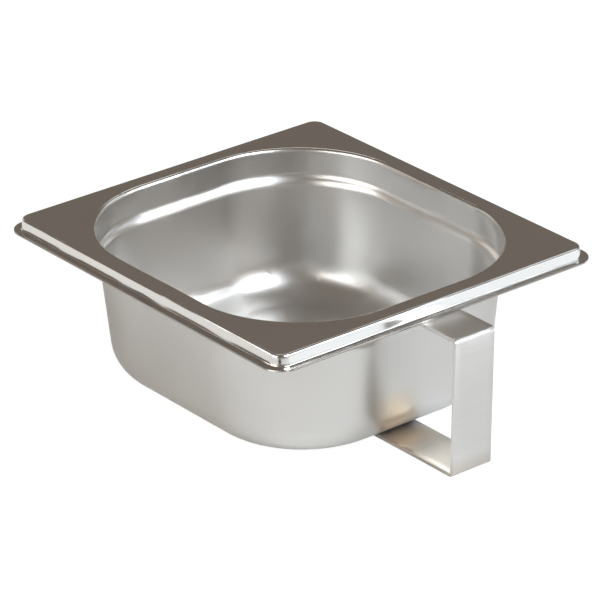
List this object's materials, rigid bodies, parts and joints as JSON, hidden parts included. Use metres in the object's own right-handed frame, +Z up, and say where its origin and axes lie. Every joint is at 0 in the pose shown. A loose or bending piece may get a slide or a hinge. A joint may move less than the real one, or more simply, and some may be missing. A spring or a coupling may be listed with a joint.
{
  "type": "small bath pan with handle",
  "caption": "Small deep-drawn stainless bath pan in one-sixth gastronorm size, with a flat strap handle welded under its rim and bottom.",
  "frame": {"origin": "under the middle of the whole part (handle included), on the surface that it stands on", "axes": "+Z up; X along the handle's side of the pan; the handle points to -Y"},
  "size_m": [0.162, 0.1957, 0.0655],
  "materials": {
    "pan_steel": "satin, deep-drawn stainless sheet",
    "strap_steel": "brushed stainless strip",
    "weld_metal": "weld metal, cleaned, slightly rippled"
  },
  "bodies": {
    "root": {"pan": "pan_steel", "handle_strap": "strap_steel", "upper_weld": "weld_metal", "lower_welds": "weld_metal"}
  },
  "joints": []
}
